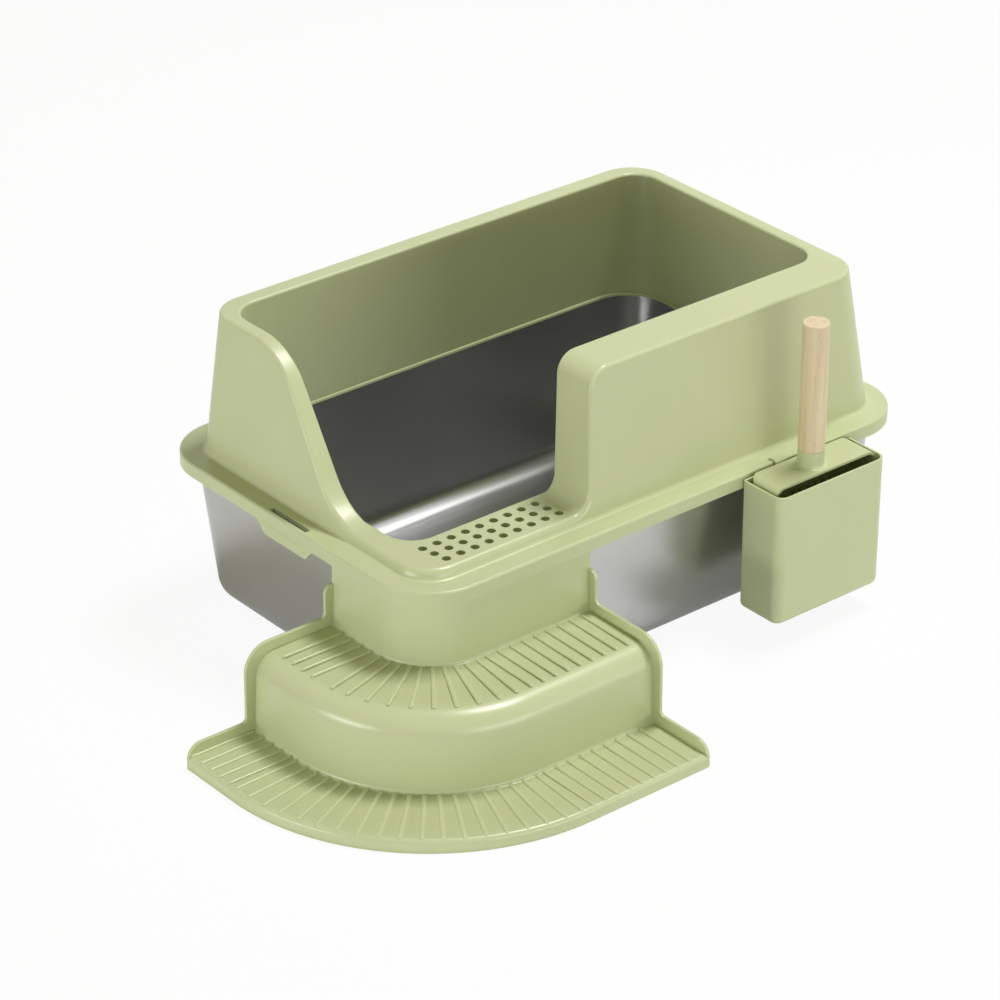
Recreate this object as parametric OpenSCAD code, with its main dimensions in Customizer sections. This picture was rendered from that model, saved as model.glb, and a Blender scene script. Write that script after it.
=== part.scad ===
// Stainless steel litter box with a plastic enclosure, a two-step corner
// stair and a scoop with a wooden handle that stands in its own holder.
// Millimetres. The origin is on the floor, at the middle of the enclosure's
// footprint. The front is -Y and the entrance is at the front left.

/* [Overall size] */
// Length of the enclosure over its skirt
box_len = 610; // [450:5:700]
// Depth of the enclosure over its skirt
box_dep = 405; // [300:1:480]
// Height of the rim above the floor
rim_z = 314; // [260:1:380]
// Height of the flange's flat top above the floor
flange_z = 167; // [140:1:190]
// Height of the threshold above the floor
threshold_z = 177; // [150:1:200]

/* [Enclosure skirt and flange] */
// Thickness of the plastic skins
skin = 2.5; // [2:0.5:4]
// Thickness of the flange and the skirt
flange_t = 2.5; // [2:0.5:4]
// Height of the skirt's face
skirt_h = 14.5; // [8:0.5:25]
// Corner radius of the skirt
skirt_r = 59; // [30:1:65]
// Corner radius of the skirt at the entrance
entry_r = 60; // [45:1:75]
// Distance from the skirt's face to the outer wall's foot, at the left and the front
wall_near = 23; // [18:1:30]
// Distance from the skirt's face to the outer wall's foot, at the right
wall_right = 21.5; // [18:0.5:34]
// Distance from the skirt's face to the outer wall's foot, at the back
wall_back = 27.5; // [18:0.5:34]
// Distance that the left and front walls lean in up to the rim
lean_near = 11; // [4:1:16]
// Distance that the right wall leans in up to the rim
lean_right = 21; // [4:1:26]
// Distance that the back wall leans in up to the rim
lean_back = 15; // [4:1:18]
// Corner radius of the outer wall
wall_r = 35; // [25:1:45]
// Radius of the fillet between the flange and the outer wall
wall_fillet = 4; // [2:0.5:6]
// Radius of the rim's rounded edges
rim_round = 3; // [2:0.5:5]

/* [Enclosure opening] */
// Width of the rim along the left side
rim_left = 15.5; // [12:0.5:25]
// Width of the rim along the front
rim_front = 48; // [30:0.5:60]
// Width of the rim along the right side
rim_right = 14.5; // [12:0.5:35]
// Width of the rim along the back
rim_back = 18.5; // [8:0.5:25]
// Corner radius of the opening at the rim
opening_r = 26; // [20:1:40]
// Distance from the skirt's left face to the opening's foot
foot_left = 48; // [40:1:60]
// Distance from the skirt's front face to the opening's foot
foot_front = 79; // [60:1:100]
// Distance from the skirt's right face to the opening's foot
foot_right = 47; // [40:1:60]
// Distance from the skirt's back face to the opening's foot
foot_back = 46; // [40:1:60]
// Height of the lip that hangs below the opening's foot
lip_h = 3; // [3:0.5:12]
// Width of the ledge at the foot of the inner wall
ledge = 2; // [1:0.5:4]

/* [Entrance] */
// Distance from the skirt's front to where the side wall starts to rise
rise_start = 119; // [100:1:140]
// Distance from the skirt's front to where the side wall is at full height
rise_end = 285; // [240:1:300]
// Radius of both bends of the side wall's edge
rise_r = 70; // [40:1:75]
// Distance from the skirt's left face to the cut end of the front wall
front_cut = 222; // [180:1:260]
// Lean of the front wall's cut end, in degrees
cut_lean = 3; // [1:0.5:8]
// Radius of the bend at the top of the cut end
cut_top_r = 21; // [10:1:30]
// Radius of the bend at the foot of the cut end
cut_foot_r = 19; // [10:1:30]
// Diameter of the drain holes in the threshold
hole_d = 8.6; // [4:0.2:10]
// Distance between holes along a row
hole_pitch = 16.5; // [12:0.5:24]
// Distance between the rows of holes
row_pitch = 13.7; // [10:0.1:20]
// Sideways step from one row to the next
row_skew = 2.75; // [0:0.25:8]
// Holes in a row
holes_in_row = 9; // [4:1:12]
// Rows of holes
hole_rows = 3; // [1:1:4]

/* [Snap tabs] */
// Length of a snap tab along the skirt
tab_len = 92; // [60:1:140]
// Length of the straight bottom edge of a snap tab
tab_foot = 54; // [20:2:80]
// Depth of a snap tab below the skirt
tab_drop = 11.5; // [8:0.5:20]
// Length of the slot in the flange above a snap tab
tab_slot = 56; // [30:1:70]

/* [Steel pan] */
// Thickness of the steel
steel_t = 1.2; // [0.8:0.1:2]
// Distance from the skirt's face to the pan rim's edge
pan_rim_inset = 9; // [4:0.5:12]
// Distance from the skirt's face to the pan's wall at the rim
pan_wall_inset = 19; // [16:1:30]
// Distance that the pan's wall leans in down to the floor
pan_lean = 15; // [8:1:24]
// Outer corner radius of the pan's wall at the rim
pan_r = 32; // [30:1:70]
// Corner radius of the pan rim's edge
pan_rim_r = 50; // [36:1:60]
// Outer radius between the pan's wall and its base
pan_foot_r = 26; // [15:1:35]
// Depth of the turned-down edge of the pan's rim
pan_edge = 4; // [2:0.5:6]

/* [Corner stair] */
// Height of the upper step
upper_z = 90; // [70:1:110]
// Height of the lower step
lower_z = 13; // [8:1:30]
// Distance from the skirt's face to the lower riser
lower_riser = 89; // [70:1:110]
// Distance from the skirt's face to the stair's outer edge
stair_out = 164.5; // [130:0.5:190]
// Radius of the upper step's nose
nose_r = 22; // [10:1:30]
// Length of the stair along the left side, from the skirt's front
stair_left = 132.5; // [110:0.5:180]
// Length of the stair along the front, from the skirt's left face
stair_front = 202; // [150:1:260]
// Thickness of the stair's shell
stair_t = 2.5; // [2:0.5:4]
// Height of the side lips above the steps
side_lip = 11.5; // [5:0.5:15]
// Thickness of the side lips
side_t = 3.5; // [2:0.5:5]
// Distance between the tread ribs on the straight parts
rib_pitch = 14.2; // [10:0.1:20]
// Angle between the upper step's ribs round the corner
upper_fan = 9; // [5:0.5:15]
// Angle between the lower step's ribs round the corner
lower_fan = 4.9; // [3:0.1:10]
// Width of a tread rib
rib_w = 2.5; // [1.5:0.5:4]
// Height of a tread rib
rib_h = 1.8; // [1:0.2:3]

/* [Scoop and holder] */
// Gap between the scoop and the holder's left wall
scoop_gap_left = 2.5; // [1:0.5:8]
// Gap between the scoop and the holder's right wall
scoop_gap_right = 1.5; // [1:0.5:8]
// Depth of the holder's mouth, front to back
holder_dep = 53; // [45:1:70]
// Height of the holder's body
holder_h = 138; // [110:0.5:150]
// Height of the holder's mouth above the floor
holder_top = 162.5; // [150:0.5:170]
// Distance from the skirt's left face to the holder
holder_x = 385; // [300:1:420]
// Thickness of the holder's walls
holder_t = 2.5; // [2:0.5:4]
// Width of the scoop
scoop_w = 128.5; // [90:0.5:140]
// Depth of the scoop's side walls at the plate
scoop_dep = 38; // [30:0.5:48]
// Height of the scoop's head below its plate
scoop_h = 137.3; // [90:0.1:140]
// Thickness of the scoop's walls
scoop_t = 2.5; // [2:0.5:4]
// Radius of the scoop's rounded corners
scoop_r = 10; // [4:1:16]
// Width of a slot in the scoop's floor
sieve_w = 5; // [3:0.5:8]
// Distance between the slots' middles
sieve_pitch = 10; // [7:0.5:14]
// Distance from the scoop's mouth to the middle of a slot's lower end
sieve_low = 22; // [12:1:40]
// Distance from the scoop's plate to the middle of a slot's upper end
sieve_high = 37.3; // [20:0.1:60]
// Distance from the scoop's left side to the handle's axis
handle_side = 61; // [30:1:90]
// Distance from the scoop's back to the handle's axis
handle_back = 19; // [15:0.5:25]
// Diameter of the wooden handle
handle_d = 26; // [20:0.5:30]
// Length of the handle in view above its collar
handle_len = 131.6; // [100:0.2:160]
// Height of the collar above the scoop's plate
collar_h = 17; // [12:1:25]
// Thickness of the collar's wall
collar_t = 1.5; // [1:0.1:3]
// Gap between the handle's peg and the collar
peg_gap = 0.1; // [0.05:0.05:0.3]
// Diameter of the screw in the handle's end
screw_d = 4; // [3:0.5:5]
// Length of the screw above the scoop's plate
screw_len = 28; // [16:1:40]

/* [Hidden] */
green = [0.72, 0.74, 0.58];
steel = [0.72, 0.73, 0.74];
beech = [0.86, 0.76, 0.60];
zinc = [0.60, 0.61, 0.63];

corner_steps = 10;
bend_steps = 12;
cut_steps = 8;
x0 = -box_len / 2;
x1 = box_len / 2;
y0 = -box_dep / 2;
y1 = box_dep / 2;
under_flange = flange_z - flange_t;
skirt_z = flange_z - skirt_h;
// Corner radii run front left, front right, back right, back left
skirt_radii = [entry_r, skirt_r, skirt_r, skirt_r];

// Shared shapes and rounding

function inset_box(d) = [x0 + d, x1 - d, y0 + d, y1 - d];
function grown(box, d) = [box[0] - d, box[1] + d, box[2] - d, box[3] + d];
function mixed(a, b, t) = a + (b - a) * t;
function corner_x(box, radii, c) = (c == 0 || c == 3) ? box[0] + radii[c] : box[1] - radii[c];
function corner_y(box, radii, c) = c < 2 ? box[2] + radii[c] : box[3] - radii[c];

// Points along an arc about (cx, cy), from angle a0 to angle a1
function arc(cx, cy, r, a0, a1, steps) = [
    for (i = [0:steps])
        let (a = a0 + (a1 - a0) * i / steps)
        [cx + r * cos(a), cy + r * sin(a)]];

function backwards(list) = [for (i = [len(list) - 1:-1:0]) list[i]];

// One level ring of points round a rounded rectangle
function ring(box, radii, z) = [
    for (c = [0:3], i = [0:corner_steps])
        let (a = 180 + 90 * c + 90 * i / corner_steps)
        [corner_x(box, radii, c) + radii[c] * cos(a),
         corner_y(box, radii, c) + radii[c] * sin(a), z]];

// A solid through a stack of rings, closed at the first and the last one
module loft(rings) {
    n = len(rings[0]);
    m = len(rings);
    polyhedron(
        points = [for (r = rings) each r],
        faces = concat(
            [[for (i = [0:n - 1]) i]],
            [for (k = [0:m - 2], i = [0:n - 1])
                let (a = k * n + i, b = k * n + (i + 1) % n)
                [a, a + n, b + n, b]],
            [[for (i = [n - 1:-1:0]) (m - 1) * n + i]]),
        convexity = 6);
}

// A closed tube through a loop of sections
module loop(sections) {
    n = len(sections[0]);
    m = len(sections);
    polyhedron(
        points = [for (s = sections) each s],
        faces = [
            for (k = [0:m - 1], i = [0:n - 1], half = [0, 1])
                let (a = k * n + i, b = k * n + (i + 1) % n,
                     c = ((k + 1) % m) * n + (i + 1) % n, d = ((k + 1) % m) * n + i)
                half == 0 ? [a, b, c] : [a, c, d]],
        convexity = 6);
}

// A flat rounded rectangle with its own radius at each corner
module rounded(box, radii) {
    polygon([
        for (c = [0:3], e = [0, 1])
            let (a = 180 + 90 * c + 90 * e)
            [corner_x(box, radii, c) + radii[c] * cos(a),
             corner_y(box, radii, c) + radii[c] * sin(a)]]);
    for (c = [0:3])
        translate([corner_x(box, radii, c), corner_y(box, radii, c)])
            circle(r = radii[c], $fn = 96);
}

// Draws a profile of (distance outwards, height) all round a rounded rectangle
module swept(box, radii) {
    for (c = [0:3]) {
        cx = corner_x(box, radii, c);
        cy = corner_y(box, radii, c);
        side = c % 2 == 0 ? abs(corner_x(box, radii, (c + 1) % 4) - cx)
                          : abs(corner_y(box, radii, (c + 1) % 4) - cy);
        translate([cx, cy])
            rotate(180 + 90 * c)
                rotate_extrude(angle = 90, $fn = 96)
                    translate([radii[c], 0])
                        children();
        translate([cx, cy])
            rotate(270 + 90 * c)
                translate([radii[c], side, 0])
                    rotate([90, 0, 0])
                        linear_extrude(side)
                            children();
    }
}

// Steel pan

function pan_inset(z) = pan_wall_inset + pan_lean * (under_flange - z) / under_flange;

// A ring on the pan's wall at height z, moved inwards by d
function pan_ring(z, d) =
    let (r = pan_r - (pan_inset(z) - pan_wall_inset) * 0.3 - d)
    ring(inset_box(pan_inset(z) + d), [r, r, r, r], z);

// The bend between base and wall, for the sheet's face at height base
function pan_foot(base) = [
    for (i = [0:7])
        let (a = 90 * i / 7, r = pan_foot_r - base)
        pan_ring(base + r * (1 - cos(a)), pan_foot_r - r * sin(a))];

// The bend between wall and rim, for the sheet's face that is t inside the outer one
function pan_shoulder(t, top) = [
    for (i = [0:3])
        let (a = 30 * i, r = 3 + t)
        pan_ring(top - r * (1 - sin(a)), t - r * (1 - cos(a)))];

// A ring near the rim's edge, d inwards from it
function pan_edge_ring(d, z) =
    let (r = pan_rim_r - d)
    ring(inset_box(pan_rim_inset + d), [r, r, r, r], z);

module litter_pan() {
    t = steel_t;
    top = under_flange;
    color(steel)
        loft(concat(
            pan_foot(0),
            pan_shoulder(0, top - t),
            [pan_edge_ring(t, top - t),
             pan_edge_ring(t, top - pan_edge),
             pan_edge_ring(0, top - pan_edge),
             pan_edge_ring(0, top - t),
             pan_edge_ring(0.3 * t, top - 0.3 * t),
             pan_edge_ring(t, top)],
            backwards(pan_shoulder(t, top)),
            backwards(pan_foot(t))));
}

// Enclosure

wall_radii = [wall_r, wall_r, wall_r + 5, wall_r];
foot_radii = [30, 36, 45, 36];
foot_box = [x0 + wall_near, x1 - wall_right, y0 + wall_near, y1 - wall_back];
lip_box = [x0 + foot_left, x1 - foot_right, y0 + foot_front, y1 - foot_back];

function outer_box(z) =
    let (t = (z - flange_z) / (rim_z - flange_z))
    [foot_box[0] + lean_near * t, foot_box[1] - lean_right * t,
     foot_box[2] + lean_near * t, foot_box[3] - lean_back * t];

rim_box = outer_box(rim_z);
top_box = [rim_box[0] + rim_left, rim_box[1] - rim_right,
           rim_box[2] + rim_front, rim_box[3] - rim_back];

function inner_box(z) =
    let (t = (z - threshold_z) / (rim_z - threshold_z), foot = grown(lip_box, ledge))
    [for (i = [0:3]) mixed(foot[i], top_box[i], t)];
function inner_radii(z) =
    let (t = (z - threshold_z) / (rim_z - threshold_z))
    [for (i = [0:3]) mixed(foot_radii[i] + ledge, opening_r, t)];

// A station is [is it on a corner, which corner or side, place along it,
// height of the rim there, sideways and downwards parts of the way into the wall].
// This is a point on its outer (face 0) or inner (face 1) wall face, at height z,
// shifted along the side by u and moved into the wall by e.
function on_wall(s, face, u, z, e) =
    let (box = face == 0 ? grown(outer_box(z), -e) : grown(inner_box(z), e),
         radii = [for (c = [0:3]) face == 0 ? wall_radii[c] - e : inner_radii(z)[c] + e],
         c = s[1])
    s[0] ? [corner_x(box, radii, c) + radii[c] * cos(s[2]),
            corner_y(box, radii, c) + radii[c] * sin(s[2]), z]
         : c == 0 ? [s[2] + u, box[2], z]
         : c == 1 ? [box[1], s[2] + u, z]
         : c == 2 ? [s[2] + u, box[3], z]
         : [box[0], s[2] + u, z];

// A point at depth d under the rim, moved into the wall by e
function under_rim(s, face, d, e) = on_wall(s, face, s[4] * d, s[3] - s[5] * d, e);

// The upside-down U of both skins and the rim, cut at one station
function wall_section(s) =
    let (r = rim_round, foot = s[4] * r, lip_foot = threshold_z - lip_h + 1)
    concat(
        [on_wall(s, 0, foot, under_flange, 0), under_rim(s, 0, r, 0)],
        [for (a = [30, 60, 90]) under_rim(s, 0, r * (1 - sin(a)), r * (1 - cos(a)))],
        [for (a = [90, 60, 30]) under_rim(s, 1, r * (1 - sin(a)), r * (1 - cos(a)))],
        [under_rim(s, 1, r, 0), on_wall(s, 1, foot, lip_foot, 0),
         on_wall(s, 1, foot, lip_foot, skin), under_rim(s, 1, skin, skin),
         under_rim(s, 0, skin, skin), on_wall(s, 0, foot, under_flange, skin)]);

function corner_stations(c, z) = [
    for (i = [0:corner_steps])
        [true, c, 180 + 90 * c + 90 * i / corner_steps, z, 0, 1]];

// Cut end of the front wall, from the threshold up to the rim
function cut_x(z) = x0 + front_cut + tan(cut_lean) * (z - (threshold_z + rim_z) / 2);
function cut_stations() =
    let (b = cut_lean, rf = cut_foot_r, rt = cut_top_r,
         zf = threshold_z + rf, zt = rim_z - rt,
         xf = cut_x(zf - rf * sin(b)) - rf * cos(b),
         xt = cut_x(zt + rt * sin(b)) + rt * cos(b))
    concat(
        [for (i = [0:cut_steps])
            let (a = (90 - b) * i / cut_steps)
            [false, 0, xf + rf * sin(a), zf - rf * cos(a), sin(a), cos(a)]],
        [for (i = [0:cut_steps])
            let (a = b + (90 - b) * i / cut_steps)
            [false, 0, xt - rt * cos(a), zt + rt * sin(a), cos(a), sin(a)]]);

// S-shaped edge of the left wall, from the rim down to the threshold
function rise_stations() =
    let (run = rise_end - rise_start, h = rim_z - threshold_z, r = rise_r,
         slope = asin(2 * r / norm([run, h - 2 * r])) + atan((h - 2 * r) / run))
    concat(
        [for (i = [0:bend_steps])
            let (a = slope * i / bend_steps)
            [false, 3, y0 + rise_end - r * sin(a), rim_z - r * (1 - cos(a)), sin(a), cos(a)]],
        [for (i = [bend_steps:-1:0])
            let (a = slope * i / bend_steps)
            [false, 3, y0 + rise_start + r * sin(a), threshold_z + r * (1 - cos(a)),
             sin(a), cos(a)]]);

module enclosure_wall() {
    loop([
        for (s = concat(
            corner_stations(0, threshold_z), cut_stations(),
            corner_stations(1, rim_z), corner_stations(2, rim_z), corner_stations(3, rim_z),
            rise_stations()))
            wall_section(s)]);
}

module flange() {
    r = flange_t;
    // Skirt with its rounded upper edge
    swept(inset_box(0), skirt_radii)
        polygon(concat(
            [[-flange_t, skirt_z], [0, skirt_z]],
            arc(-r, flange_z - r, r, 0, 90, 4),
            [[-8, flange_z], [-8, under_flange], [-flange_t, under_flange]]));
    translate([0, 0, under_flange])
        linear_extrude(flange_t)
            difference() {
                rounded(inset_box(7), [for (q = skirt_radii) q - 7]);
                rounded(grown(foot_box, -skin / 2), wall_radii);
            }
    // Fillet at the foot of the outer wall
    q = wall_fillet;
    swept(foot_box, wall_radii)
        polygon(concat(
            [[-1, flange_z - 0.5], [q, flange_z - 0.5]],
            arc(q, flange_z + q, q, 270, 180, 5),
            [[-1, flange_z + q]]));
}

// Ledge at the foot of the opening, with the lip that hangs into the pan
module opening_lip() {
    swept(lip_box, foot_radii)
        polygon(concat(
            [[0, threshold_z - lip_h], [skin, threshold_z - lip_h],
             [skin, threshold_z - skin], [ledge + rim_round + 0.2, threshold_z - skin],
             [ledge + rim_round + 0.2, threshold_z]],
            arc(1.5, threshold_z - 1.5, 1.5, 90, 180, 4)));
}

module drain_holes() {
    for (row = [0:hole_rows - 1], i = [0:holes_in_row - 1])
        translate([x0 + 56.7 + row * row_skew + i * hole_pitch,
                   y0 + 66.7 - row * row_pitch, threshold_z - 10])
            cylinder(d = hole_d, h = 20, $fn = 32);
}

// Tab that hangs from the left skirt, with a small catch on its inner face
module snap_tab() {
    rise = tab_drop;
    run = (tab_len - tab_foot) / 2;
    r = (run * run + rise * rise) / (2 * rise);
    sweep = asin(run / r);
    bottom = skirt_z - tab_drop;
    catch = pan_rim_inset - 0.6;
    translate([x0, y0 + 200, 0])
        rotate([90, 0, 90])
            linear_extrude(flange_t)
                polygon(concat(
                    [[tab_len / 2, skirt_z + 1], [-tab_len / 2, skirt_z + 1]],
                    arc(-tab_foot / 2, bottom + r, r, 270 - sweep, 270, 6),
                    arc(tab_foot / 2, bottom + r, r, 270, 270 + sweep, 6)));
    translate([x0, y0 + 200 + tab_slot / 2, 0])
        rotate([90, 0, 0])
            linear_extrude(tab_slot)
                polygon([[flange_t - 0.5, skirt_z - 1], [catch, skirt_z + 4],
                         [catch, skirt_z + 5], [flange_t - 0.5, skirt_z + 5]]);
}

module tab_slot_cut() {
    translate([x0 + 3.8, y0 + 200 - tab_slot / 2, under_flange - 1])
        cube([5.5, tab_slot, flange_t + 2]);
}

module enclosure() {
    color(green)
        difference() {
            union() {
                enclosure_wall();
                flange();
                opening_lip();
                snap_tab();
                mirror([1, 0, 0])
                    snap_tab();
            }
            drain_holes();
            tab_slot_cut();
            mirror([1, 0, 0])
                tab_slot_cut();
            translate([x0 + holder_x + 40, y0 + 4.2, under_flange - 1])
                cube([holder_w - 39, 3.8, flange_t + 2]);
        }
}

// Corner stair

// Centre of all the curves of the stair, seen from above
stair_cx = x0 + entry_r + 2;
stair_cy = y0 + entry_r + 2;
stair_r = entry_r + 2;
riser_top = skirt_z - 1;

// Line of the steps from the riser's top down to the outer edge, moved
// t into the shell, as (distance from the skirt's face, height)
function stair_line(t) = concat(
    [[-3 - t, riser_top]],
    arc(2.5, upper_z + 3, 3 + t, 180, 270, 6),
    arc(lower_riser - 1 - nose_r, upper_z - 1 - nose_r, nose_r - t, 90, 0, 8),
    arc(lower_riser + 5, lower_z + 4, 4 + t, 180, 270, 6),
    arc(stair_out - 4.5, lower_z - 4.5, 4.5 - t, 90, 0, 6),
    [[stair_out - t, 0]]);

// Outline of an end wall with the lip above the steps
function stair_end_line() =
    let (top = side_lip - 1, low = lower_z + side_lip, r = nose_r + 5)
    concat(
        [[-3 - stair_t, 0], [-3 - stair_t, upper_z + 43]],
        arc(-1.5, upper_z + 34, 9, 90, 0, 6),
        arc(12.5, upper_z + top + 5, 5, 180, 270, 4),
        arc(lower_riser + 9.5 - r, upper_z + top - r, r, 90, 0, 8),
        arc(lower_riser + 15, low + 5, 5, 180, 270, 4),
        arc(stair_out - 15, low - 15, 15, 90, 0, 6),
        [[stair_out, 0]]);

// Draws a profile along both straight parts and round the corner
module round_corner() {
    translate([stair_cx, stair_cy, 0]) {
        rotate(180)
            rotate_extrude(angle = 90, $fn = 128)
                translate([stair_r, 0])
                    children();
        rotate(180)
            translate([stair_r, 0, 0])
                rotate([90, 0, 0])
                    linear_extrude(stair_left - stair_r - 1)
                        children();
        rotate(270)
            translate([stair_r, stair_front - stair_r - 1, 0])
                rotate([90, 0, 0])
                    linear_extrude(stair_front - stair_r - 1)
                        children();
    }
}

// A raised rib with rounded ends, from distance a to distance b
module tread_rib(a, b, z) {
    h = 1.5 + rib_h;
    translate([stair_r + a, -rib_w / 2, z - 1.5])
        cube([b - a, rib_w, h]);
    for (d = [a, b])
        translate([stair_r + d, 0, z - 1.5])
            cylinder(d = rib_w, h = h, $fn = 24);
}

module upper_rib() {
    tread_rib(4, lower_riser - nose_r, upper_z);
}

module lower_rib() {
    tread_rib(lower_riser + 4, stair_out - 7, lower_z);
}

// Ribs that fan round the corner, by the angle step from the first angle on
module rib_fan(first, step) {
    for (a = [first:step:268.5])
        translate([stair_cx, stair_cy, 0])
            rotate(a)
                children();
}

// Ribs along both straight parts, by their first distances from the corner
module rib_rows(first_left, first_front) {
    for (y = [stair_cy + first_left:rib_pitch:y0 + stair_left - side_t - 2 * rib_w])
        translate([stair_cx, y, 0])
            rotate(180)
                children();
    for (x = [stair_cx + first_front:rib_pitch:x0 + stair_front - side_t - 2 * rib_w])
        translate([x, stair_cy, 0])
            rotate(270)
                children();
}

module corner_stair() {
    color(green) {
        round_corner()
            polygon(concat(stair_line(0), backwards(stair_line(stair_t))));
        // End walls
        translate([x0, y0 + stair_left - side_t, 0])
            mirror([1, 0, 0])
                translate([0, side_t, 0])
                    rotate([90, 0, 0])
                        linear_extrude(side_t)
                            polygon(stair_end_line());
        translate([x0 + stair_front - side_t, y0, 0])
            rotate([90, 0, -90])
                translate([0, 0, -side_t])
                    linear_extrude(side_t)
                        polygon(stair_end_line());
        rib_fan(187.5, upper_fan)
            upper_rib();
        rib_rows(7, 11)
            upper_rib();
        rib_fan(180, lower_fan)
            lower_rib();
        rib_rows(9.5, 5)
            lower_rib();
    }
}

// Scoop holder

holder_w = scoop_w + scoop_gap_left + scoop_gap_right + 2 * holder_t;
holder_back = y0 - 1;
holder_box = [x0 + holder_x, x0 + holder_x + holder_w, holder_back - holder_dep, holder_back];
holder_floor = holder_top - holder_h;

// A ring of the holder at height z, moved inwards by d; its back stays upright
function holder_ring(z, d) =
    let (lean = 0.3 * (holder_top - z) / holder_h, b = holder_box,
         r = [11 - d, 11 - d, max(4 - d, 1), max(4 - d, 1)])
    ring([b[0] + lean + d, b[1] - lean - d, b[2] + lean + d, b[3] - d], r, z);

// The holder's rounded bottom edge, for the face that is t inside the outer one
function holder_foot(t) = [
    for (i = [0:4])
        let (a = 90 * i / 4, r = 8 - t)
        holder_ring(holder_floor + t + r * (1 - cos(a)), t + r * (1 - sin(a)))];

module scoop_holder() {
    t = holder_t;
    color(green) {
        loft(concat(
            holder_foot(0),
            [holder_ring(holder_top - 1, 0), holder_ring(holder_top - 0.3, 0.3),
             holder_ring(holder_top, 1), holder_ring(holder_top, t - 0.6),
             holder_ring(holder_top - 0.6, t)],
            backwards(holder_foot(t))));
        // Hook over the flange, with a toe in the flange's slot
        translate([holder_box[0] + 41, 0, 0])
            rotate([90, 0, 90])
                linear_extrude(holder_w - 41)
                    polygon(concat(
                        [[holder_back - t + 0.5, holder_top - 12]],
                        arc(holder_back - t + 2, flange_z + t - 2, 2, 180, 90, 4),
                        arc(y0 + 5.5, flange_z + t - 2, 2, 90, 0, 4),
                        [[y0 + 7.5, under_flange + 0.3], [y0 + 5, under_flange + 0.3],
                         [y0 + 5, flange_z], [holder_back, flange_z],
                         [holder_back, holder_top - 12]]));
    }
}

// Scoop

scoop_x = x0 + holder_x + holder_t + scoop_gap_left;
scoop_back = holder_back - holder_t - 1;
plate_z = flange_z;
mouth_z = plate_z - scoop_h;
handle_x = scoop_x + handle_side;
handle_y = scoop_back - handle_back;

// Outline of the scoop seen from the side, for the face t inside the outer one
function scoop_side(t) = [
    [scoop_back - t, plate_z - t],
    [scoop_back - scoop_dep - t, plate_z - t],
    [scoop_back - scoop_dep - t, plate_z - 16],
    [scoop_back - scoop_dep + 4 - t, plate_z - 30],
    [scoop_back - 10 - t, mouth_z - (t > 0 ? 1 : 0)],
    [scoop_back - t, mouth_z - (t > 0 ? 1 : 0)]];

// Outline of the scoop seen from the front
function scoop_front(t) = concat(
    arc(scoop_x + scoop_r, plate_z - scoop_r, scoop_r - t, 180, 90, 6),
    arc(scoop_x + scoop_w - scoop_r, plate_z - scoop_r, scoop_r - t, 90, 0, 6),
    [[scoop_x + scoop_w - t, plate_z - 40]],
    t > 0 ? [[scoop_x + scoop_w - 6 - t, mouth_z - 1], [scoop_x + 6 + t, mouth_z - 1]]
          : concat(arc(scoop_x + scoop_w - 6 - scoop_r, mouth_z + scoop_r, scoop_r, 0, -90, 5),
                   arc(scoop_x + 6 + scoop_r, mouth_z + scoop_r, scoop_r, 270, 180, 5)),
    [[scoop_x + t, plate_z - 40]]);

module scoop_body(t) {
    intersection() {
        translate([scoop_x - 1, 0, 0])
            rotate([90, 0, 90])
                linear_extrude(scoop_w + 2)
                    polygon(scoop_side(t));
        translate([0, y0, 0])
            rotate([90, 0, 0])
                linear_extrude(80)
                    polygon(scoop_front(t));
        translate([0, 0, mouth_z - 2])
            linear_extrude(scoop_h + 4)
                rounded([scoop_x + t, scoop_x + scoop_w - t, scoop_back - 70, scoop_back - t],
                        [1, 1, scoop_r - t, scoop_r - t]);
    }
}

// Slots that let clean litter fall through the scoop's floor
module sieve_slots() {
    low = mouth_z + sieve_low;
    high = plate_z - sieve_high;
    side = floor((scoop_w / 2 - scoop_t - sieve_w) / sieve_pitch - 0.5);
    for (i = [-side:side])
        translate([scoop_x + scoop_w / 2 + i * sieve_pitch, scoop_back + 1, 0])
            rotate([90, 0, 0]) {
                translate([-sieve_w / 2, low, 0])
                    cube([sieve_w, high - low, scoop_t + 3.5]);
                for (z = [low, high])
                    translate([0, z, 0])
                        cylinder(d = sieve_w, h = scoop_t + 3.5, $fn = 24);
            }
}

module scoop_head() {
    r = handle_d / 2;
    color(green)
        difference() {
            union() {
                difference() {
                    scoop_body(0);
                    scoop_body(scoop_t);
                    sieve_slots();
                }
                // Collar for the handle
                translate([handle_x, handle_y, plate_z])
                    rotate_extrude($fn = 64)
                        polygon(concat(
                            [[0, -1], [r + 4, -1]],
                            arc(r + 4, 4, 4, 270, 180, 5),
                            arc(r - 0.6, collar_h - 0.6, 0.6, 0, 90, 3),
                            [[0, collar_h]]));
            }
            translate([handle_x, handle_y, plate_z])
                cylinder(r = handle_d / 2 - collar_t, h = collar_h + 1, $fn = 64);
            translate([handle_x, handle_y, plate_z - scoop_t - 2])
                cylinder(r = screw_d / 2 + 0.1, h = scoop_t + 4, $fn = 32);
        }
}

module scoop_handle() {
    r = handle_d / 2;
    peg = r - collar_t - peg_gap;
    color(beech)
        translate([handle_x, handle_y, plate_z])
            difference() {
                rotate_extrude($fn = 64)
                    polygon(concat(
                        [[0, 0], [peg, 0], [peg, collar_h], [r, collar_h]],
                        arc(r - 1.5, collar_h + handle_len - 1.5, 1.5, 0, 90, 4),
                        [[0, collar_h + handle_len]]));
                translate([0, 0, -1])
                    cylinder(d = screw_d, h = screw_len + 3, $fn = 32);
            }
}

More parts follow.
